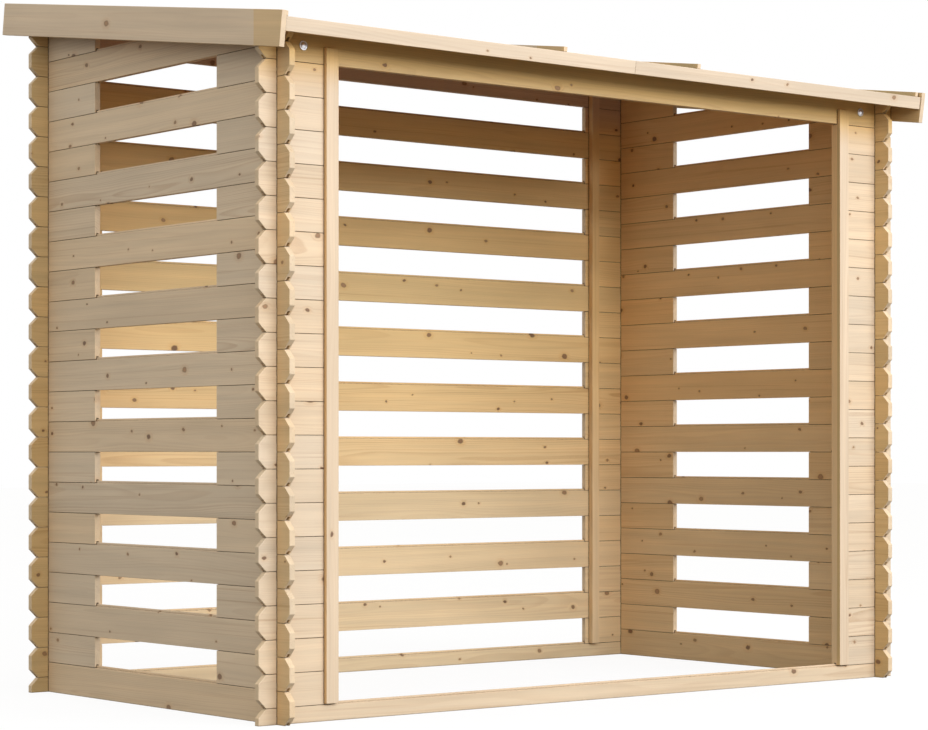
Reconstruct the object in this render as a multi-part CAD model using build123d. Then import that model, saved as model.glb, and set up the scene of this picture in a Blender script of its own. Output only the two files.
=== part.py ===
"""Open-fronted log store of interlocking tongue-and-groove boards, in millimetres.

X runs along the front, Y from front to back, Z up. The origin is at the middle of the footprint,
on the ground.
"""
import math
import os

from build123d import *

# Wall boards
course_height = 90.0          # cover height of one board
board_thickness = 18.0
tongue_width = 6.0
tongue_height = 7.0
groove_side_gap = 0.5         # between a tongue and each side of its groove
groove_top_gap = 2.0          # over a tongue, inside its groove

# Walls, measured over their outer faces
wall_width = 2330.0
wall_depth = 1226.0
front_courses = 20            # full courses over the half-height sill
back_courses = 22

# Interlocking corners
log_end = 58.0                # reach of a board past the wall that it crosses
log_end_chamfer = 24.0
notch_side_gap = 0.25
side_block_length = 290.0     # from the outer face of the crossing wall to the sawn end
back_block_length = 186.0

# Front posts, grooved to take the ends of the short boards
post_outer_side = 152.0       # from the side wall's outer face to the flange's near edge
post_width = 40.0
post_web = 12.0
post_proud = 12.5             # stands in front of the wall's face
post_rear_leg = 6.0
post_gap = 0.3                # around the boards held in the groove
post_over_sill = 3.0
post_lintel_overlap = 45.0

# Battens fixed inside the back wall
stud_outer_side = 137.0       # from the side wall's outer face
stud_width = 33.0
stud_thickness = 21.0
stud_over_sill = 2.0
stud_under_roof = 40.0        # left open between its head and the top of the back wall
stud_chamfer = 2.0

# Roof
deck_boards = 27
deck_thickness = 18.0
felt_thickness = 2.0
roof_batten_height = 15.0
roof_batten_width = 13.0
roof_batten_offset = 260.0    # from the middle of the roof
roof_batten_inset = 11.0      # from the eave boards' faces back to the battens' ends
edge_batten_gap = 1.0         # between an edge batten and its verge board
verge_height = 95.0
verge_thickness = 16.0
eave_height = 38.0
eave_thickness = 16.0
eave_inset = 3.0              # from the verge boards' ends back to the eave board's face
eave_overhang = 125.0         # level reach of the verge boards past the walls

# Worked out from the sizes above
half_width = wall_width / 2
half_depth = wall_depth / 2
sill_height = course_height / 2
notch_depth = course_height / 4
side_x = half_width - board_thickness / 2
end_y = half_depth - board_thickness / 2
front_height = sill_height + front_courses * course_height
back_height = sill_height + back_courses * course_height
roof_slope = (back_height - front_height) / wall_depth
pitch = math.atan(roof_slope)
deck_half = half_width + log_end
cover_top = deck_thickness + felt_thickness
verge_top = cover_top + roof_batten_height
verge_middle = verge_top - verge_height / 2
verge_length = (wall_depth + 2 * eave_overhang) / math.cos(pitch)
eave_face = verge_length / 2 - eave_inset
deck_end = eave_face - eave_thickness
roof_batten_end = eave_face - roof_batten_inset
post_inner_side = post_outer_side + post_width
groove_bottom = post_inner_side - post_web

# The roof's own plane lies on the wall tops: local Y runs up the slope and local Z away from it.
roof_origin_y = verge_middle * math.sin(pitch)
roof_origin_z = (front_height + back_height) / 2 + roof_origin_y * roof_slope
roof_plane = Plane(
    origin=(0, roof_origin_y, roof_origin_z),
    x_dir=(1, 0, 0),
    z_dir=(0, -math.sin(pitch), math.cos(pitch)),
)


def block(x_range, y_range, z_range):
    """A plain block between two values on each axis."""
    size = [high - low for low, high in (x_range, y_range, z_range)]
    corner = Pos(x_range[0], y_range[0], z_range[0])
    return corner * Box(*size, align=(Align.MIN, Align.MIN, Align.MIN))


def mirrored(side, near, far):
    """A range along X from two distances to the middle, on the left (-1) or right (+1)."""
    return (min(side * near, side * far), max(side * near, side * far))


def roof_block(x_range, slope_range, height_range):
    """A block whose sides follow the roof, measured on the roof's own plane."""
    return roof_plane.location * block(x_range, slope_range, height_range)


roof_space = roof_block(
    (-2 * deck_half, 2 * deck_half), (-verge_length, verge_length), (0, back_height)
)


def under_roof(solid):
    """A wall piece with its top sawn to the slope of the roof."""
    return solid - roof_space


def board_section(height, tongue=True, groove=True):
    """A board's section, thickness along the first axis and height along the second."""
    half = board_thickness / 2
    points = [(-half, 0)]
    if groove:
        half_groove = tongue_width / 2 + groove_side_gap
        groove_depth = tongue_height + groove_top_gap
        points += [(-half_groove, 0), (-half_groove, groove_depth)]
        points += [(half_groove, groove_depth), (half_groove, 0)]
    points += [(half, 0), (half, height)]
    if tongue:
        half_tongue = tongue_width / 2
        tongue_top = height + tongue_height
        points += [(half_tongue, height), (half_tongue, tongue_top)]
        points += [(-half_tongue, tongue_top), (-half_tongue, height)]
    points += [(-half, height)]
    return make_face(Polyline(*points, close=True))


def end_cutters(end, inward, height, notches, chamfers):
    """What is sawn from a board at a log end, under it and over it."""
    reach = board_thickness
    near = end + inward * (log_end - notch_side_gap)
    far = end + inward * (log_end + board_thickness + notch_side_gap)
    notch = (min(near, far), max(near, far))
    run = log_end_chamfer
    bevels = {
        "under": [(end, 0), (end + inward * run, 0), (end, run)],
        "over": [(end, height), (end + inward * run, height), (end, height - run)],
    }
    cutters = [across_board(bevels[place]) for place in chamfers]
    if "under" in notches:
        cutters.append(block(notch, (-reach, reach), (0, notch_depth)))
    if "over" in notches:
        cutters.append(block(notch, (-reach, reach), (height - notch_depth, 2 * height)))
    planed = (min(end, near), max(end, near))
    cutters.append(block(planed, (-reach, reach), (height, 2 * height)))
    return cutters


def across_board(points):
    """A prism through a board's thickness, from an outline along X and Z."""
    outline = make_face(Polyline(*points, close=True))
    return extrude(Plane.XZ * outline, board_thickness, both=True)


def wall_board(
    low,
    high,
    log_ends=("low", "high"),
    height=course_height,
    tongue=True,
    groove=True,
    notches=("under", "over"),
    chamfers=("under", "over"),
):
    """One board along X from low to high, standing on Z = 0 with its thickness centred on Y = 0."""
    section = Plane.YZ * board_section(height, tongue, groove)
    board = Pos(low, 0, 0) * extrude(section, high - low)
    if "low" in log_ends:
        board -= end_cutters(low, 1, height, notches, chamfers)
    if "high" in log_ends:
        board -= end_cutters(high, -1, height, notches, chamfers)
    return board


def notch_over_crossing(middle):
    """The notch in a full-height board's top that takes a crossing wall at this place along X."""
    half_notch = board_thickness / 2 + notch_side_gap
    return block(
        (middle - half_notch, middle + half_notch),
        (-board_thickness, board_thickness),
        (course_height - notch_depth, 2 * course_height),
    )


def half_board_sill():
    """The lowest board of the front or back wall, ripped to half its height."""
    reach = half_width + log_end
    over = ("over",)
    return wall_board(
        -reach, reach, height=sill_height, groove=False, notches=over, chamfers=over
    )


def in_side_wall(side, board, course):
    """Turn a board to run from front to back, in a course of the left (-1) or right (+1) wall."""
    return Pos(side * side_x, 0, course * course_height) * Rot(0, 0, 90) * board


def in_end_wall(end, board, course):
    """Set a board in the front (-1) or back (+1) wall, in a course counted from its sill."""
    return Pos(0, end * end_y, sill_height + course * course_height) * board


def save(name, solids):
    """Write one sub-part, made of one solid or of several that don't touch."""
    shapes = [solid for item in solids for solid in item.solids()]
    part = shapes[0] if len(shapes) == 1 else Compound(children=shapes)
    part.label = name
    export_step(part, f"parts/{name}.step")


def side_walls():
    """Full boards in the even courses, and short blocks at both ends of the courses between."""
    reach = half_depth + log_end
    sawn_end = half_depth - side_block_length
    full = wall_board(-reach, reach)
    highest = wall_board(-reach, reach, notches=("under",))
    highest -= notch_over_crossing(end_y)
    front_block = wall_board(-reach, -sawn_end, ("low",))
    back_block = wall_board(sawn_end, reach, ("high",))
    capped_block = wall_board(sawn_end, reach, ("high",), tongue=False)
    wedge = wall_board(sawn_end, reach, ("high",), groove=False, notches=("under",))
    for name, side in (("left", -1), ("right", 1)):
        boards = [in_side_wall(side, full, k) for k in range(0, front_courses, 2)]
        boards += [under_roof(in_side_wall(side, highest, front_courses))]
        save(f"{name}_wall_boards", boards)
        fronts = [in_side_wall(side, front_block, k) for k in range(1, front_courses, 2)]
        save(f"{name}_wall_front_blocks", fronts)
        backs = [in_side_wall(side, back_block, k) for k in range(1, front_courses, 2)]
        backs += [under_roof(in_side_wall(side, capped_block, back_courses - 1))]
        save(f"{name}_wall_back_blocks", backs)
        save(f"{name}_wall_wedge", [under_roof(in_side_wall(side, wedge, back_courses))])


def back_wall():
    """A half-height sill, full boards and gap courses with a short block at each end."""
    reach = half_width + log_end
    sawn_end = half_width - back_block_length
    full = wall_board(-reach, reach)
    top = wall_board(-reach, reach, tongue=False)
    left_block = wall_board(-reach, -sawn_end, ("low",))
    right_block = wall_board(sawn_end, reach, ("high",))
    save("back_sill", [Pos(0, end_y, 0) * half_board_sill()])
    boards = [in_end_wall(1, full, k) for k in range(1, back_courses - 1, 2)]
    boards += [under_roof(in_end_wall(1, top, back_courses - 1))]
    save("back_wall_boards", boards)
    for name, piece in (("left", left_block), ("right", right_block)):
        blocks = [in_end_wall(1, piece, k) for k in range(0, back_courses, 2)]
        save(f"back_{name}_blocks", blocks)


def front_wall():
    """A half-height sill, short boards at both ends of every course, and a full top board."""
    reach = half_width + log_end
    stub_end = half_width - groove_bottom + post_gap
    stubs = {
        "left": wall_board(-reach, -stub_end, ("low",)),
        "right": wall_board(stub_end, reach, ("high",)),
    }
    save("front_sill", [Pos(0, -end_y, 0) * half_board_sill()])
    for name, stub in stubs.items():
        for letter, first in (("a", 0), ("b", 1)):
            pieces = [in_end_wall(-1, stub, k) for k in range(first, front_courses - 1, 2)]
            save(f"front_{name}_boards_{letter}", pieces)
    tall = course_height + notch_depth
    under = ("under",)
    lintel = wall_board(-reach, reach, height=tall, tongue=False, notches=under, chamfers=under)
    for side in (-1, 1):
        lintel -= notch_over_crossing(side * side_x)
    save("front_lintel", [under_roof(in_end_wall(-1, lintel, front_courses - 1))])


def front_posts():
    """Grooved posts that close the ends of the short boards, their flanges lapping the top board."""
    face = -half_depth
    slot = (face - post_gap, face + board_thickness + post_gap)
    rear = slot[1] + post_rear_leg
    half_groove = tongue_width / 2 + groove_side_gap
    over_tongue = (-end_y - half_groove, -end_y + half_groove)
    lintel_bottom = front_height - course_height
    bottom = sill_height + post_over_sill
    for name, side in (("left", -1), ("right", 1)):
        across = mirrored(side, half_width - post_inner_side, half_width - post_outer_side)
        groove = mirrored(side, half_width - groove_bottom, half_width)
        post = block(across, (face - post_proud, rear), (bottom, lintel_bottom - post_gap))
        post -= block(groove, slot, (0, back_height))
        post -= block(across, over_tongue, (0, sill_height + tongue_height + groove_top_gap))
        flange_top = lintel_bottom + post_lintel_overlap
        post += block(across, (face - post_proud, slot[0]), (bottom, flange_top))
        save(f"front_{name}_post", [post])


def back_studs():
    """Upright battens that hold the short blocks of the back wall from the inside."""
    inner_face = half_depth - board_thickness
    front_face = inner_face - stud_thickness
    for name, side in (("left", -1), ("right", 1)):
        outer = half_width - stud_outer_side
        low, high = mirrored(side, outer - stud_width, outer)
        outline = [
            (low, inner_face),
            (low, front_face + stud_chamfer),
            (low + stud_chamfer, front_face),
            (high - stud_chamfer, front_face),
            (high, front_face + stud_chamfer),
            (high, inner_face),
        ]
        bottom = sill_height + stud_over_sill
        length = back_height - stud_under_roof - bottom
        stud = Pos(0, 0, bottom) * extrude(make_face(Polyline(*outline, close=True)), length)
        save(f"back_{name}_batten", [stud])


def roof_deck():
    """Boards laid side by side up the slope, and the felt over them."""
    cover = 2 * deck_half / deck_boards
    for letter, first in (("a", 0), ("b", 1)):
        lefts = [-deck_half + k * cover for k in range(first, deck_boards, 2)]
        ends = (-deck_end, deck_end)
        boards = [roof_block((left, left + cover), ends, (0, deck_thickness)) for left in lefts]
        save(f"roof_boards_{letter}", boards)
    felt = roof_block((-deck_half, deck_half), (-deck_end, deck_end), (deck_thickness, cover_top))
    save("roof_felt", [felt])


def roof_edges():
    """Verge boards on the log ends, and an eave board in two halves at the front and back."""
    eave_range = (cover_top - eave_height, cover_top)
    verge_range = (verge_top - verge_height, verge_top)
    for name, side in (("left", -1), ("right", 1)):
        across = mirrored(side, deck_half, deck_half + verge_thickness)
        ends = (-verge_length / 2, verge_length / 2)
        save(f"{name}_verge_board", [roof_block(across, ends, verge_range)])
        half = mirrored(side, 0, deck_half)
        save(f"front_eave_{name}", [roof_block(half, (-eave_face, -deck_end), eave_range)])
        save(f"back_eave_{name}", [roof_block(half, (deck_end, eave_face), eave_range)])


def roof_battens():
    """Thin battens up the slope, over the felt's laps and beside the verge boards."""
    edge_middle = deck_half - edge_batten_gap - roof_batten_width / 2
    middles = {
        "left_edge": -edge_middle,
        "left_middle": -roof_batten_offset,
        "right_middle": roof_batten_offset,
        "right_edge": edge_middle,
    }
    for name, middle in middles.items():
        across = (middle - roof_batten_width / 2, middle + roof_batten_width / 2)
        ends = (-roof_batten_end, roof_batten_end)
        batten = roof_block(across, ends, (cover_top, verge_top))
        save(f"roof_{name}_batten", [batten])


side_walls()
back_wall()
front_wall()
front_posts()
back_studs()
roof_deck()
roof_edges()
roof_battens()
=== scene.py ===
import math
import random

import bmesh
import bpy
from mathutils import Matrix, Vector


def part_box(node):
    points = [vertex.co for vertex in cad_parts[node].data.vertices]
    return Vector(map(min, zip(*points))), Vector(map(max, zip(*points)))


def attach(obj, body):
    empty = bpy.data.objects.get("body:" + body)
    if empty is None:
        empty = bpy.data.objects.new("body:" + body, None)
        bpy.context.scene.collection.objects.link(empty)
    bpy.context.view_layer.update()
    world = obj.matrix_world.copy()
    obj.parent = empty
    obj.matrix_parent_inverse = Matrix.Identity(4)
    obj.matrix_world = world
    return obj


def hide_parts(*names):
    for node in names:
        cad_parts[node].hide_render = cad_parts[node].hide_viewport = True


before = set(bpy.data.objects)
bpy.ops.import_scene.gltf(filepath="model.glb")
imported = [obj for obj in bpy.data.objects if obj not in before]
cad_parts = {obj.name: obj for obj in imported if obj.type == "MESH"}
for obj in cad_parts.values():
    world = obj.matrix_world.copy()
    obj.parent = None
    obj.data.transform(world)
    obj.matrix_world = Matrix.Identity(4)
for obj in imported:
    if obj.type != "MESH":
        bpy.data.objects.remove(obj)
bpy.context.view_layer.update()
scene = bpy.context.scene

MM = 0.001
WHITE = (1, 1, 1, 1)

# Faces of the CAD model
WALL_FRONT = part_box("front_lintel")[0].y           # outer face of the front
WALL_SIDE = -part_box("left_wall_boards")[0].x       # outer faces of the side walls, left and right
EAVE_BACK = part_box("front_eave_left")[1].y         # back of the front eave

# Finish of the boards
ARRIS = 1.2 * MM               # rounding of every sawn or planed edge
ARRIS_SEGMENTS = 2
SHARP_ANGLE = math.radians(25)     # an edge that turns more than this is rounded
SEAM_GAP = 0.55 * MM           # both seam faces of a wall or roof board stand back this far
WELD_DISTANCE = 0.02 * MM      # points of a CAD mesh this near each other are one
FLAT_ANGLE = math.radians(0.5)     # its faces that turn less than this are one

# Bolts near the ends of the front's top board, level with the tops of the posts
BOLT_FROM_SIDE = 85 * MM
BOLT_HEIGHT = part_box("front_left_post")[1].z
BOLT_SEGMENTS = 64
WASHER_PROFILE = ((0, 0), (12.2, 0), (12.5, 0.3), (12.5, 1.2), (12.2, 1.6))     # radius, height in mm
HEAD_PROFILE = ((9.2, 1.6), (8.9, 2.0), (8.4, 3.2), (7.0, 4.6), (4.8, 5.6), (2.4, 6.1), (0, 6.25))

# Each board's own place in its log
PITH_ASIDE = 50 * MM           # at most this far from the middle of the board's width
PITH_DEPTH = (12 * MM, 70 * MM)    # from the middle of its thickness, to one side or the other
GRAIN_TILT = 0.012             # at most this slope against the board's edges
GRAIN_LENGTH = 40.0            # a board starts anywhere in so many metres of grain
# A face starts to be a sawn end, and is one, where these parts of its normal lie along the grain
END_TURN = (0.3, 0.7)

# Early wood, late wood, how much the rings show, and the part of the knots' places that have one
WALL_WOOD = ((0.812, 0.650, 0.452, 1), (0.55, 0.345, 0.180, 1), 0.33, 0.55)
ROOF_WOOD = ((0.740, 0.535, 0.310, 1), (0.50, 0.300, 0.130, 1), 0.40, 0.50)
TRIM_WOOD = ((0.800, 0.634, 0.444, 1), (0.58, 0.375, 0.200, 1), 0.30, 0.15)
WARM_BOARD = (1.03, 0.985, 0.93, 1)
COOL_BOARD = (0.985, 1.0, 1.04, 1)

# Marks along the grain: changes per metre along it and across it, then detail and roughness
LINE_MARKS = (1.1, 150.0)
BAND_MARKS = (1.2, 42.0)
CLOUD_MARKS = (2.4, 11.0)
FIBRE_MARKS = (9.0, 620.0, 3.0, 0.62)
PORE_MARKS = (300.0, 900.0)

# How far these marks, and a board as a whole, swing in tone
FIBRE_SWING = 0.13
BAND_SWING = 0.30
CLOUD_SWING = 0.22
BOARD_SWING = 0.09
LINE_EDGE = (0.58, 0.74)       # noise at which a brown line begins and is full
LINE_STRENGTH = (0.40, 0.10)   # boards differ: spread and least

# Growth rings
RING_LEAST = 3.0 * MM          # width
RING_SPREAD = 3.2 * MM
RING_BEND = 50 * MM            # slow noise moves the pith about in this width
RING_BEND_MARKS = (0.9, 7.0)
RING_DETOUR = 5 * MM           # rings go round a knot by this much
LATE_RISE = (0.25, 0.86)       # part of the year in which late wood comes
LATE_FALL = (1.0, 0.90)        # and ends
YEAR_SCALE = 3.7               # years differ: scale of their noise, its range, and the late wood's
YEAR_NOISE = (0.25, 0.75)
YEAR_STRENGTH = (0.3, 1.0)
RINGS_SHOWN = (1.5, 0.25)      # boards differ: spread and least

# Knots
KNOT_CELL = 105 * MM           # one place for a knot in each such patch
KNOT_STRETCH = 0.72            # places lie farther apart along the board than across it
KNOT_ROWS = 57.0               # boards differ by up to so many rows of places
KNOT_WOBBLE = (0.07, 0.07, 0.0)    # unevenness of the outlines, in parts of a patch
KNOT_WOBBLE_SCALE = 60.0
KNOT_LEAST = 2.4 * MM          # radius
KNOT_SPREAD = 5.2 * MM
SMALL_KNOTS = 2.2              # the larger this power, the commoner small knots are
KNOT_EDGE = (1.22, 0.76)       # where a knot begins and is full, in its radii
RIM_EDGE = (0.42, 0.0)         # the same for its rim, in radii from its edge
STAIN_EDGE = (3.4, 0.9)        # the same for the stain round it
KNOT_STRENGTH = 0.86
RIM_STRENGTH = 0.42
STAIN_STRENGTH = 0.42
DARK_KNOT = (0.14, 0.064, 0.034, 1)
PALE_KNOT = (0.46, 0.255, 0.125, 1)
KNOT_RIM = (0.11, 0.050, 0.028, 1)
KNOT_STAIN = (0.88, 0.72, 0.55, 1)
KNOT_RING_WAVE = 3400.0        # radians of a knot's own rings in a metre
KNOT_RING_DEPTH = 0.08

# Sawn ends, and seams, notches and inner corners
CLOSED_PORES = (0.96, 0.93, 0.86, 1)
OPEN_PORES = (1.08, 1.07, 1.04, 1)
SEAM_REACH = 4 * MM            # painted shade gathers where other wood is this near
SEAM_OPENNESS = (0.88, 0.40)   # they begin and are full where this part of the view is open
# colour of the painted shade in seams, notches and inner corners
SEAM_SHADE = (0.100, 0.040, 0.010, 1)
SEAM_STRENGTH = 0.92

# Surface of the wood: relief of its marks, and bumps as strength and depth
RING_RELIEF = 0.4
FIBRE_RELIEF = 0.8
KNOT_RELIEF = 0.5
RIM_RELIEF = -0.8
WOOD_BUMP = (0.35, 0.25 * MM)
WOOD_ROUGHNESS = 0.54
FIBRE_ROUGHNESS = 0.12
RING_ROUGHNESS = -0.10

# Painted light and shade: inside the store the wood is tinted for warm bounced light, the more the
# higher it is, brighter low down and darker higher up. These tints are for planed faces that look
# inwards or down, on the sides and on the back and front:
LOW_SIDE_TINT = (1.05, 0.99, 0.83, 1)
HIGH_SIDE_TINT = (1.04, 0.88, 0.61, 1)
LOW_BACK_TINT = (1.13, 1.10, 0.96, 1)
HIGH_BACK_TINT = (1.10, 0.98, 0.63, 1)
TOP_BACK_TINT = (0.78, 0.72, 0.76, 1)      # painted shade close under the roof
CORNER_TINT = (0.85, 0.76, 0.52, 1)        # painted shade and bounced light on the log ends outside the corners
# These are painted shade as well: for the outer sides of the log ends before the front, and for the
# eave's shadow on the front behind the eave:
FLANK_TINT = (0.97, 0.88, 0.68, 1)
EAVE_SHADOW_TINT = (0.90, 0.72, 0.36, 1)
# Heights over which a low tint turns into the high one, the top one or the eave's
TINT_RISE = (0.25, 1.30)
TOP_RISE = (1.80, 1.94)
EAVE_RISE = (1.67, 1.79)
# A face looks inwards, or outwards, between these parts of its normal
LOOKS_IN = (-0.3, -0.8)
LOOKS_OUT = (0.3, 0.8)

# Mineral felt and zinc
DARK_GRANULE = (0.050, 0.056, 0.058, 1)
PALE_GRANULE = (0.125, 0.133, 0.132, 1)
SCUFFED_FELT = (0.115, 0.118, 0.112, 1)
SCUFF_EDGE = (0.35, 0.7)       # noise at which a scuffed patch begins and is full
SCUFF_STRENGTH = 0.35
GRANULES_PER_METRE = 650.0
FELT_BUMP = (0.6, 0.5 * MM)
DARK_ZINC = (0.60, 0.61, 0.64, 1)
PALE_ZINC = (0.84, 0.85, 0.87, 1)
ZINC_CRYSTALS = 420.0          # per metre
ZINC_NOISE = (0.2, 0.8)        # its roughness goes from the lower to the higher with this noise
ZINC_ROUGHNESS = (0.26, 0.42)
ZINC_BUMP = (0.2, 0.1 * MM)

# Studio: a pale floor, a white sky and two broad lamps
FLOOR_HALF_WIDTH = 40.0
FLOOR_TONE = 0.13
SHADOW_TONE = 0.11             # to the camera the floor is this and a glow, white but for shadows
FLOOR_GLOW = 0.905
SKY_STRENGTH = 0.77
SKY_COLOUR = (1.0, 0.975, 0.925)
LAMP_AIM = Vector((0, 0, 1))   # the middle of the store
LAMP_DISTANCE = 9.0
LAMP_ELEVATION = math.radians(19.5)
LAMP_HEIGHT = 3.5
LAMP_COLOUR = (0.965, 1.0, 1.09)
KEY_AZIMUTH = math.radians(10)     # to the right of straight before the front
KEY_WIDTH = 8.0
KEY_POWER = 542.0
FILL_AZIMUTH = math.radians(-38)
FILL_WIDTH = 5.0
FILL_POWER = 60.0

# Camera, from the photograph's perspective
PHOTO_WIDTH = 928
PHOTO_HEIGHT = 730
SENSOR_WIDTH = 36.0
HORIZON_Y = 452.07             # the row of the photograph at the camera's height
FOCAL_PIXELS = 2572.5
CAMERA_TURN = math.radians(38.64)      # to the right, from square to the front
CAMERA_FROM_CORNER = Vector((-3.848, -5.603, 0.720))       # from the foot of the front left corner


def longest_edge(node):
    """Direction of a CAD node's longest edge, pointing to the back or the right."""
    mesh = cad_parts[node].data
    spans = [mesh.vertices[e.vertices[1]].co - mesh.vertices[e.vertices[0]].co for e in mesh.edges]
    span = max(spans, key=lambda s: s.length).normalized()
    return span if span.x + span.y > 0 else -span


RIGHT = Vector((1, 0, 0))
BACK = Vector((0, 1, 0))
UP = Vector((0, 0, 1))
ROOF_BATTEN = longest_edge("roof_left_middle_batten")
UP_SLOPE = Vector((0, ROOF_BATTEN.y, ROOF_BATTEN.z))
OFF_ROOF = RIGHT.cross(UP_SLOPE)

# How the grain lies: along the board, across its face, and through its thickness
ACROSS_FRONT = (RIGHT, UP, BACK)
FRONT_TO_BACK = (BACK, UP, RIGHT)
UPRIGHT = (UP, RIGHT, BACK)
ON_DECK = (UP_SLOPE, RIGHT, OFF_ROOF)
ON_VERGE = (UP_SLOPE, OFF_ROOF, RIGHT)
ON_EAVE = (RIGHT, OFF_ROOF, UP_SLOPE)


class Graph:
    """Short calls for building the nodes of a material or the world."""

    def __init__(self, tree):
        self.tree = tree

    def node(self, kind, inputs=None, **settings):
        made = self.tree.nodes.new(kind)
        for key, value in settings.items():
            setattr(made, key, value)
        for key, value in (inputs or {}).items():
            self.feed(made.inputs[key], value)
        return made

    def feed(self, socket, value):
        if isinstance(value, bpy.types.NodeSocket):
            self.tree.links.new(value, socket)
        else:
            socket.default_value = value

    def math(self, operation, *values):
        return self.node("ShaderNodeMath", dict(enumerate(values)), operation=operation).outputs[0]

    def vector(self, operation, *values):
        made = self.node("ShaderNodeVectorMath", dict(enumerate(values)), operation=operation)
        return made.outputs[0]

    def length(self, vector):
        return self.node("ShaderNodeVectorMath", {0: vector}, operation="LENGTH").outputs["Value"]

    def dim(self, colour, factor):
        inputs = {"Vector": colour, "Scale": factor}
        return self.node("ShaderNodeVectorMath", inputs, operation="SCALE").outputs[0]

    def attribute(self, name):
        return self.node("ShaderNodeAttribute", attribute_name=name).outputs["Vector"]

    def split(self, vector):
        return self.node("ShaderNodeSeparateXYZ", {0: vector}).outputs

    def join(self, x, y, z):
        return self.node("ShaderNodeCombineXYZ", {0: x, 1: y, 2: z}).outputs[0]

    def step(self, value, low, high, start=0.0, end=1.0):
        """Smooth change from start to end as value goes from low to high."""
        inputs = {"Value": value, "From Min": low, "From Max": high, "To Min": start, "To Max": end}
        return self.node("ShaderNodeMapRange", inputs, interpolation_type="SMOOTHSTEP").outputs[0]

    def mix(self, factor, a, b, blend="MIX"):
        inputs = {"Factor": factor, "A": a, "B": b}
        return self.node("ShaderNodeMix", inputs, data_type="RGBA", blend_type=blend).outputs["Result"]

    def tint(self, colour, factor, tint):
        """The colour multiplied by the tint as far as the factor says."""
        return self.mix(factor, colour, tint, "MULTIPLY")

    def noise(self, vector, scale=1.0, detail=2.0, roughness=0.5, output=0):
        """One noise, or three independent ones as the output Color."""
        inputs = {"Vector": vector, "Scale": scale, "Detail": detail, "Roughness": roughness}
        return self.node("ShaderNodeTexNoise", inputs).outputs[output]


def new_material(name):
    material = bpy.data.materials.new(name)
    material.use_nodes = True
    material.node_tree.nodes.clear()
    return material, Graph(material.node_tree)


def finish_material(g, shader):
    g.node("ShaderNodeOutputMaterial", {"Surface": shader})


def finish_surface(g, height, bump, inputs):
    """End a material in a principled shader with these inputs and a bump of this strength and depth."""
    strength, depth = bump
    relief = g.node("ShaderNodeBump", {"Strength": strength, "Distance": depth, "Height": height})
    shader = g.node("ShaderNodeBsdfPrincipled", {"Normal": relief.outputs[0], **inputs})
    finish_material(g, shader.outputs[0])


def painted_light_and_shade(g, wood, planed):
    """Painted light and shade: tint inner faces, the sides of the log ends at the corners, and the front
    behind the eave.
    """
    coordinates = g.node("ShaderNodeTexCoord")
    x, y, z = g.split(coordinates.outputs["Object"])
    looks_x, looks_y, looks_z = g.split(coordinates.outputs["Normal"])
    outward_x = g.math("MULTIPLY", g.math("SIGN", x), looks_x)
    outward_y = g.math("MULTIPLY", g.math("SIGN", y), looks_y)
    past_side = g.math("GREATER_THAN", g.math("ABSOLUTE", x), WALL_SIDE)
    past_front = g.math("LESS_THAN", y, WALL_FRONT)

    rise = g.step(z, *TINT_RISE)
    side_tint = g.mix(rise, LOW_SIDE_TINT, HIGH_SIDE_TINT)
    back_tint = g.mix(rise, LOW_BACK_TINT, HIGH_BACK_TINT)
    back_tint = g.mix(g.step(z, *TOP_RISE), back_tint, TOP_BACK_TINT)
    tint = g.mix(g.step(outward_y, *LOOKS_IN), side_tint, back_tint)
    tint = g.mix(g.math("MAXIMUM", past_side, past_front), tint, CORNER_TINT)
    least = g.math("MINIMUM", g.math("MINIMUM", outward_x, outward_y), looks_z)
    wood = g.tint(wood, g.math("MULTIPLY", g.step(least, *LOOKS_IN), planed), tint)

    # painted shade and bounced light on the outer sides of the log ends before the front
    flank = g.math("MULTIPLY", past_front, g.step(outward_x, *LOOKS_OUT))
    wood = g.tint(wood, flank, FLANK_TINT)

    # painted shadow of the front eave, deeper towards the top
    on_front = g.math("MULTIPLY", g.math("LESS_THAN", y, 0.0), g.math("GREATER_THAN", y, EAVE_BACK))
    forward = g.step(looks_y, *LOOKS_IN)
    shade = g.math("MULTIPLY", g.math("MULTIPLY", forward, on_front), g.step(z, *EAVE_RISE))
    return g.tint(wood, shade, EAVE_SHADOW_TINT)


def drawn_out(g, grain, along, across):
    """Coordinates for noise that changes so often per metre along the grain and across it."""
    return g.vector("MULTIPLY", grain, (along, across, across))


def marks(g, grain, along, across, detail=2.0, roughness=0.5):
    """Noise drawn out along the grain."""
    return g.noise(drawn_out(g, grain, along, across), 1.0, detail, roughness)


def swing(g, value, amount):
    """A factor round 1 from a noise round one half."""
    return g.math("MULTIPLY_ADD", g.math("SUBTRACT", value, 0.5), amount, 1.0)


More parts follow.
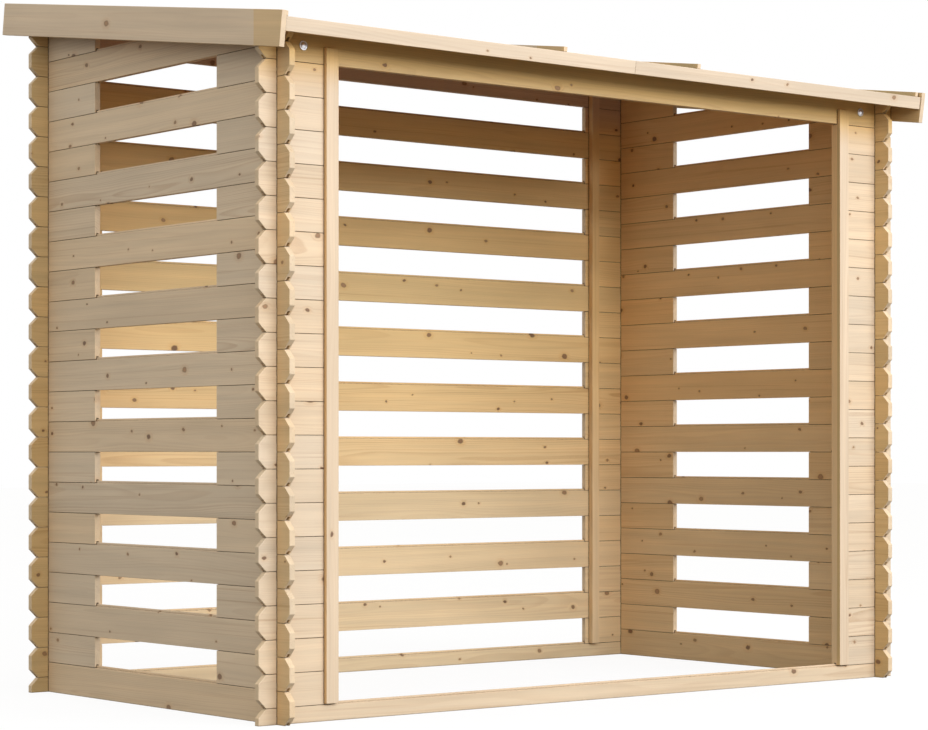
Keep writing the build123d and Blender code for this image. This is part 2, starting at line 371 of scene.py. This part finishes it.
def knots(g, grain, toss, share):
    """Knots go straight through a board, so their places come from its length and width alone.

    Returns the knot, its dark rim, the stain round it and its colour.
    """
    along, across = g.split(grain)[:2]
    row = g.math("MULTIPLY_ADD", toss[0], KNOT_ROWS, g.math("MULTIPLY", across, 1 / KNOT_CELL))
    place = g.join(g.math("MULTIPLY", along, KNOT_STRETCH / KNOT_CELL), row, 0.0)
    wobble = g.noise(grain, KNOT_WOBBLE_SCALE, output="Color")
    place = g.vector("MULTIPLY_ADD", wobble, KNOT_WOBBLE, place)
    cells = g.node("ShaderNodeTexVoronoi", {"Vector": place, "Scale": 1.0}, voronoi_dimensions="2D")
    away = g.math("MULTIPLY", cells.outputs["Distance"], KNOT_CELL)
    dice = g.split(cells.outputs["Color"])
    present = g.math("LESS_THAN", dice[1], share)
    radius = g.math("MULTIPLY_ADD", g.math("POWER", dice[0], SMALL_KNOTS), KNOT_SPREAD, KNOT_LEAST)
    reach = g.math("DIVIDE", away, radius)
    knot = g.math("MULTIPLY", present, g.step(reach, *KNOT_EDGE))
    from_edge = g.math("ABSOLUTE", g.math("SUBTRACT", reach, 1.0))
    rim = g.math("MULTIPLY", present, g.step(from_edge, *RIM_EDGE))
    stain = g.math("MULTIPLY", present, g.step(reach, *STAIN_EDGE))
    wave = g.math("SINE", g.math("MULTIPLY", away, KNOT_RING_WAVE))
    rings = g.math("MULTIPLY_ADD", wave, KNOT_RING_DEPTH, 1 - KNOT_RING_DEPTH)
    return knot, rim, stain, g.dim(g.mix(dice[2], DARK_KNOT, PALE_KNOT), rings)


def growth_rings(g, grain, toss, stain):
    """Late wood of each year's ring about the pith, bent by slow noise and by the knots."""
    slow = g.noise(drawn_out(g, grain, *RING_BEND_MARKS), output="Color")
    bend = g.vector("MULTIPLY", g.vector("SUBTRACT", slow, (0.5, 0.5, 0.5)), (0.0, RING_BEND, RING_BEND))
    from_pith = g.length(g.vector("MULTIPLY_ADD", grain, (0.0, 1.0, 1.0), bend))
    pushed = g.math("MULTIPLY_ADD", stain, RING_DETOUR, from_pith)
    spacing = g.math("MULTIPLY_ADD", toss[1], RING_SPREAD, RING_LEAST)
    count = g.math("DIVIDE", pushed, spacing)
    year = g.math("FRACT", count)
    late = g.math("MULTIPLY", g.step(year, *LATE_RISE), g.step(year, *LATE_FALL))
    which = g.noise(g.join(g.math("FLOOR", count), toss[2], 0.0), YEAR_SCALE, detail=0.0)
    return g.math("MULTIPLY", late, g.step(which, *YEAR_NOISE, *YEAR_STRENGTH))


def clear_wood(g, grain, board, ring, fibre, early, late, contrast):
    """Rings that show more in some boards, thin brown lines, fibres and slow bands."""
    toss = g.split(board)
    more = g.split(g.node("ShaderNodeTexWhiteNoise", {"Vector": board}).outputs["Color"])
    shown = g.math("MULTIPLY_ADD", g.math("POWER", more[0], 2.0), *RINGS_SHOWN)
    wood = g.mix(g.math("MULTIPLY", ring, g.math("MULTIPLY", shown, contrast)), early, late)
    line = g.step(marks(g, grain, *LINE_MARKS), *LINE_EDGE)
    wood = g.mix(g.math("MULTIPLY", line, g.math("MULTIPLY_ADD", more[1], *LINE_STRENGTH)), wood, late)
    fine = swing(g, fibre, FIBRE_SWING)
    band = swing(g, marks(g, grain, *BAND_MARKS), BAND_SWING)
    cloud = swing(g, marks(g, grain, *CLOUD_MARKS), CLOUD_SWING)
    whole = swing(g, toss[2], BOARD_SWING)
    tone = g.math("MULTIPLY", g.math("MULTIPLY", fine, band), g.math("MULTIPLY", cloud, whole))
    return g.tint(g.dim(wood, tone), 1.0, g.mix(toss[0], WARM_BOARD, COOL_BOARD))


def spruce(name, early, late, contrast, knot_share):
    """Planed spruce: growth rings, fibres, knots, end grain, painted light and shade inside and under
    the eave, and painted shade in the seams.

    Attribute grain is a place in the board, from its pith: along, across and through. Toss holds
    three random numbers for the board, and cut is 1 on its sawn ends.
    """
    material, g = new_material(name)
    grain = g.attribute("grain")
    board = g.attribute("toss")
    toss = g.split(board)
    cut = g.split(g.attribute("cut"))[0]
    planed = g.math("SUBTRACT", 1.0, cut)
    knot, rim, stain, knot_colour = knots(g, grain, toss, knot_share)
    ring = growth_rings(g, grain, toss, stain)
    fibre = marks(g, grain, *FIBRE_MARKS)

    wood = clear_wood(g, grain, board, ring, fibre, early, late, contrast)
    # painted light and shade: bounced light inside, shade under the roof, on the corner log ends and in
    # the eave's shadow
    wood = painted_light_and_shade(g, wood, planed)
    wood = g.tint(wood, g.math("MULTIPLY", stain, STAIN_STRENGTH), KNOT_STAIN)
    wood = g.mix(g.math("MULTIPLY", knot, g.math("MULTIPLY", planed, KNOT_STRENGTH)), wood, knot_colour)
    wood = g.mix(g.math("MULTIPLY", rim, g.math("MULTIPLY", planed, RIM_STRENGTH)), wood, KNOT_RIM)
    wood = g.tint(wood, cut, g.mix(marks(g, grain, *PORE_MARKS), CLOSED_PORES, OPEN_PORES))
    # painted shade: ambient occlusion darkens seams, notches and inner corners
    openness = g.node("ShaderNodeAmbientOcclusion", {"Distance": SEAM_REACH}, samples=2).outputs["AO"]
    wood = g.mix(g.step(openness, *SEAM_OPENNESS, 0.0, SEAM_STRENGTH), wood, SEAM_SHADE)

    relief = g.math("MULTIPLY_ADD", ring, RING_RELIEF, g.math("MULTIPLY", fibre, FIBRE_RELIEF))
    relief = g.math("MULTIPLY_ADD", rim, RIM_RELIEF, g.math("MULTIPLY_ADD", knot, KNOT_RELIEF, relief))
    rough = g.math("MULTIPLY_ADD", fibre, FIBRE_ROUGHNESS, WOOD_ROUGHNESS)
    rough = g.math("MULTIPLY_ADD", ring, RING_ROUGHNESS, rough)
    finish_surface(g, relief, WOOD_BUMP, {
        "Base Color": wood, "Roughness": rough, "Specular IOR Level": 0.30,
    })
    return material


def roofing_felt():
    """Grey mineral felt: packed granules, slight waves and paler scuffed patches."""
    material, g = new_material("mineral_felt")
    place = g.node("ShaderNodeTexCoord").outputs["Object"]
    grit = g.node("ShaderNodeTexVoronoi", {"Vector": place, "Scale": GRANULES_PER_METRE})
    cloud = g.noise(place, scale=5.0, detail=4.0, roughness=0.6)
    colour = g.mix(g.split(grit.outputs["Color"])[0], DARK_GRANULE, PALE_GRANULE)
    colour = g.mix(g.step(cloud, *SCUFF_EDGE, 0.0, SCUFF_STRENGTH), colour, SCUFFED_FELT)
    height = g.math("ADD", g.math("MULTIPLY", grit.outputs["Distance"], 0.5), cloud)
    finish_surface(g, height, FELT_BUMP, {
        "Base Color": colour, "Roughness": 0.92, "Specular IOR Level": 0.25,
    })
    return material


def zinc():
    """Bright zinc plate with a faint crystal mottling."""
    material, g = new_material("zinc_plate")
    place = g.node("ShaderNodeTexCoord").outputs["Object"]
    mottle = g.noise(place, ZINC_CRYSTALS, detail=3.0, roughness=0.6)
    colour = g.mix(mottle, DARK_ZINC, PALE_ZINC)
    rough = g.step(mottle, *ZINC_NOISE, *ZINC_ROUGHNESS)
    finish_surface(g, mottle, ZINC_BUMP, {"Base Color": colour, "Roughness": rough, "Metallic": 1.0})
    return material


def loose_solids(bm):
    """The faces of each solid in a mesh that holds several, in an order that never varies."""
    found = set()
    solids = []
    for seed in bm.faces:
        if seed in found:
            continue
        found.add(seed)
        solid = [seed]
        for face in solid:  # its neighbours join the list behind it
            for edge in face.edges:
                for other in edge.link_faces:
                    if other not in found:
                        found.add(other)
                        solid.append(other)
        solids.append(solid)
    return solids


def solid_copy(faces):
    """A new mesh that holds only these faces."""
    copy = bmesh.new()
    places = {}
    for face in faces:
        corners = []
        for vertex in face.verts:
            if vertex not in places:
                places[vertex] = copy.verts.new(vertex.co)
            corners.append(places[vertex])
        copy.faces.new(corners)
    bmesh.ops.recalc_face_normals(copy, faces=copy.faces)
    return copy


def lowest_corner(bm):
    """The least height, x and y of a mesh, to a tenth of a millimetre."""
    return tuple(round(min(v.co[axis] for v in bm.verts), 4) for axis in (2, 0, 1))


def node_solids(node):
    """Clean meshes of a CAD node's solids, flat faces whole, from the lowest and leftmost up."""
    bm = bmesh.new()
    bm.from_mesh(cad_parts[node].data)
    bmesh.ops.remove_doubles(bm, verts=bm.verts, dist=WELD_DISTANCE)
    bmesh.ops.dissolve_limit(bm, angle_limit=FLAT_ANGLE, verts=bm.verts, edges=bm.edges)
    copies = [solid_copy(faces) for faces in loose_solids(bm)]
    bm.free()
    return sorted(copies, key=lowest_corner)


def extent(bm, axis):
    reaches = [v.co.dot(axis) for v in bm.verts]
    return min(reaches), max(reaches)


def shrink_across(bm, axis, gap):
    """Bring a board's two seam faces in, so that the seams open a little."""
    low, high = extent(bm, axis)
    middle = (low + high) / 2
    share = 2 * gap / (high - low)
    for vertex in bm.verts:
        vertex.co -= axis * (vertex.co.dot(axis) - middle) * share


def round_edges(bm, width):
    sharp = [e for e in bm.edges if e.is_manifold and e.calc_face_angle(0) > SHARP_ANGLE]
    bmesh.ops.bevel(
        bm,
        geom=sharp,
        offset=width,
        segments=ARRIS_SEGMENTS,
        profile=0.5,
        affect="EDGES",
        clamp_overlap=True,
    )


def toss_board(rng):
    """One board's chances: its pith aside and in depth, its tilt, its start and three numbers."""
    aside = rng.uniform(-PITH_ASIDE, PITH_ASIDE)
    depth = rng.choice((-1, 1)) * rng.uniform(*PITH_DEPTH)
    tilt = rng.uniform(-GRAIN_TILT, GRAIN_TILT)
    start = rng.uniform(0, GRAIN_LENGTH)
    return aside, depth, tilt, start, (rng.random(), rng.random(), rng.random())


def add_point_vectors(mesh, name, values):
    attribute = mesh.attributes.new(name, "FLOAT_VECTOR", "POINT")
    attribute.data.foreach_set("vector", [number for value in values for number in value])


def new_piece(name, mesh, material):
    """A piece of the store with one material."""
    mesh.materials.append(material)
    piece = bpy.data.objects.new(name, mesh)
    scene.collection.objects.link(piece)
    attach(piece, "root")
    return piece


def timber(node, axes, material, seams=False):
    """Replace a CAD node by its boards with rounded edges, each with a grain of its own.

    Axes point along the board, across its face and through it. Seams opens the joints a little.
    """
    along, across, through = axes
    end_from, end_full = END_TURN
    rng = random.Random(node)
    vertices = []
    faces = []
    grain = []
    toss = []
    cuts = []
    for board in node_solids(node):
        middle = sum(extent(board, across)) / 2
        if seams:
            shrink_across(board, across, SEAM_GAP)
        round_edges(board, ARRIS)
        board.normal_update()
        board.verts.index_update()
        aside, depth, tilt, start, numbers = toss_board(rng)
        pith = (extent(board, along)[0], middle + aside, sum(extent(board, through)) / 2 + depth)
        first = len(vertices)
        faces += [[first + v.index for v in face.verts] for face in board.faces]
        for vertex in board.verts:
            u, v, w = (vertex.co.dot(axis) - origin for axis, origin in zip(axes, pith))
            turn = (abs(vertex.normal.dot(along)) - end_from) / (end_full - end_from)
            vertices.append(vertex.co.copy())
            grain.append((u + start, v + tilt * u, w + tilt * u / 2))
            toss.append(numbers)
            cuts.append((min(1.0, max(0.0, turn)), 0.0, 0.0))
        board.free()
    mesh = bpy.data.meshes.new(node + "_timber")
    mesh.from_pydata(vertices, [], faces)
    add_point_vectors(mesh, "grain", grain)
    add_point_vectors(mesh, "toss", toss)
    add_point_vectors(mesh, "cut", cuts)
    piece = new_piece(node + "_timber", mesh, material)
    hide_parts(node)


def all_timber():
    """The boards of the walls and the roof, and the trim: posts, battens, verge and eave boards."""
    walls = spruce("wall_spruce", *WALL_WOOD)
    roof = spruce("roof_spruce", *ROOF_WOOD)
    trim = spruce("trim_spruce", *TRIM_WOOD)
    for side in ("left", "right"):
        for group in ("boards", "front_blocks", "back_blocks", "wedge"):
            timber(f"{side}_wall_{group}", FRONT_TO_BACK, walls, seams=True)
        for node in (f"front_{side}_boards_a", f"front_{side}_boards_b", f"back_{side}_blocks"):
            timber(node, ACROSS_FRONT, walls, seams=True)
        for node in (f"front_{side}_post", f"back_{side}_batten"):
            timber(node, UPRIGHT, trim)
        timber(f"{side}_verge_board", ON_VERGE, trim)
        for node in (f"front_eave_{side}", f"back_eave_{side}"):
            timber(node, ON_EAVE, trim)
        for node in (f"roof_{side}_edge_batten", f"roof_{side}_middle_batten"):
            timber(node, ON_DECK, trim)
    for node in ("front_sill", "back_sill", "front_lintel", "back_wall_boards"):
        timber(node, ACROSS_FRONT, walls, seams=True)
    for node in ("roof_boards_a", "roof_boards_b"):
        timber(node, ON_DECK, roof, seams=True)


def felt():
    """The CAD sheet keeps its shape and gets its mineral finish."""
    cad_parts["roof_felt"].material_slots[0].material = roofing_felt()


def lathe(name, profile, origin, axis, segments):
    """A turned mesh: profile holds (radius, height) pairs, turned about axis from origin."""
    bm = bmesh.new()
    turn = axis.to_track_quat("Z", "Y").to_matrix().to_4x4()
    place = Matrix.Translation(origin) @ turn
    angles = [2 * math.pi * k / segments for k in range(segments)]
    rings = []
    for radius, height in profile:
        circle = [Vector((radius * math.cos(a), radius * math.sin(a), height)) for a in angles]
        points = circle if radius else [Vector((0, 0, height))]
        rings.append([bm.verts.new(place @ point) for point in points])
    for lower, upper in zip(rings, rings[1:]):
        for k in range(segments):
            n = (k + 1) % segments
            around = ((lower, k), (lower, n), (upper, n), (upper, k))
            corners = dict.fromkeys(ring[j % len(ring)] for ring, j in around)
            if len(corners) > 2:
                bm.faces.new(list(corners))
    bmesh.ops.recalc_face_normals(bm, faces=bm.faces)
    mesh = bpy.data.meshes.new(name)
    bm.to_mesh(mesh)
    bm.free()
    return mesh


def bolts():
    """Round bolt heads on washers, on the front of the top front board near its ends."""
    metal = zinc()
    profile = [(radius * MM, height * MM) for radius, height in WASHER_PROFILE + HEAD_PROFILE]
    for name, side in (("front_left_bolt", -1), ("front_right_bolt", 1)):
        origin = Vector((side * (WALL_SIDE - BOLT_FROM_SIDE), WALL_FRONT, BOLT_HEIGHT))
        new_piece(name, lathe(name, profile, origin, -BACK, BOLT_SEGMENTS), metal)


def seen_directly(g):
    """1 to rays from the camera, also by way of a reflection or through glass, and 0 to others."""
    path = g.node("ShaderNodeLightPath")
    seen = g.math("MAXIMUM", path.outputs["Is Camera Ray"], path.outputs["Is Glossy Ray"])
    return g.math("MAXIMUM", seen, path.outputs["Is Transmission Ray"])


def floor_material():
    """Pale floor: white to the camera and in reflections, with the object's soft shadow kept."""
    material, g = new_material("pale_floor")
    plain = g.node("ShaderNodeBsdfDiffuse", {"Color": (FLOOR_TONE, FLOOR_TONE, FLOOR_TONE, 1)})
    soft = g.node("ShaderNodeBsdfDiffuse", {"Color": (SHADOW_TONE, SHADOW_TONE, SHADOW_TONE, 1)})
    glow = g.node("ShaderNodeEmission", {"Color": WHITE, "Strength": FLOOR_GLOW})
    white = g.node("ShaderNodeAddShader", {0: soft.outputs[0], 1: glow.outputs[0]})
    both = g.node("ShaderNodeMixShader", {0: seen_directly(g), 1: plain.outputs[0], 2: white.outputs[0]})
    finish_material(g, both.outputs[0])
    return material


def floor():
    half = FLOOR_HALF_WIDTH
    mesh = bpy.data.meshes.new("floor")
    corners = [(-half, -half, 0), (half, -half, 0), (half, half, 0), (-half, half, 0)]
    mesh.from_pydata(corners, [], [(0, 1, 2, 3)])
    mesh.materials.append(floor_material())
    ground = bpy.data.objects.new("floor", mesh)
    scene.collection.objects.link(ground)


def sky():
    """White to the camera and in reflections; its light is a little weaker and warmer."""
    world = bpy.data.worlds.new("white_world")
    world.use_nodes = True
    scene.world = world
    g = Graph(world.node_tree)
    light = [SKY_STRENGTH * part for part in SKY_COLOUR] + [1]
    colour = g.mix(seen_directly(g), light, WHITE)
    g.feed(world.node_tree.nodes["Background"].inputs["Color"], colour)


def softbox(name, azimuth, width, power):
    """A broad lamp before the front, turned round it by the azimuth and aimed at its middle."""
    flat = LAMP_DISTANCE * math.cos(LAMP_ELEVATION)
    rise = LAMP_DISTANCE * math.sin(LAMP_ELEVATION)
    away = Vector((flat * math.sin(azimuth), -flat * math.cos(azimuth), rise))
    lamp = bpy.data.lights.new(name, "AREA")
    lamp.shape = "RECTANGLE"
    lamp.size = width
    lamp.size_y = LAMP_HEIGHT
    lamp.energy = power
    lamp.color = LAMP_COLOUR
    box = bpy.data.objects.new(name, lamp)
    box.location = LAMP_AIM + away
    box.rotation_euler = (-away).to_track_quat("-Z", "Y").to_euler()
    scene.collection.objects.link(box)


def camera():
    """Two-point perspective, level, at the photograph's height and angle."""
    lens = bpy.data.cameras.new("camera")
    lens.sensor_width = SENSOR_WIDTH
    lens.sensor_fit = "HORIZONTAL"
    lens.lens = FOCAL_PIXELS / PHOTO_WIDTH * SENSOR_WIDTH
    lens.shift_y = (HORIZON_Y - PHOTO_HEIGHT / 2) / PHOTO_WIDTH
    view = bpy.data.objects.new("camera", lens)
    view.location = Vector((-WALL_SIDE, WALL_FRONT, 0)) + CAMERA_FROM_CORNER
    view.rotation_euler = (math.pi / 2, 0, -CAMERA_TURN)
    scene.collection.objects.link(view)
    scene.camera = view


camera()
all_timber()
felt()
bolts()
floor()
sky()
softbox("key", KEY_AZIMUTH, KEY_WIDTH, KEY_POWER)
softbox("fill", FILL_AZIMUTH, FILL_WIDTH, FILL_POWER)
scene.view_settings.view_transform = "Standard"
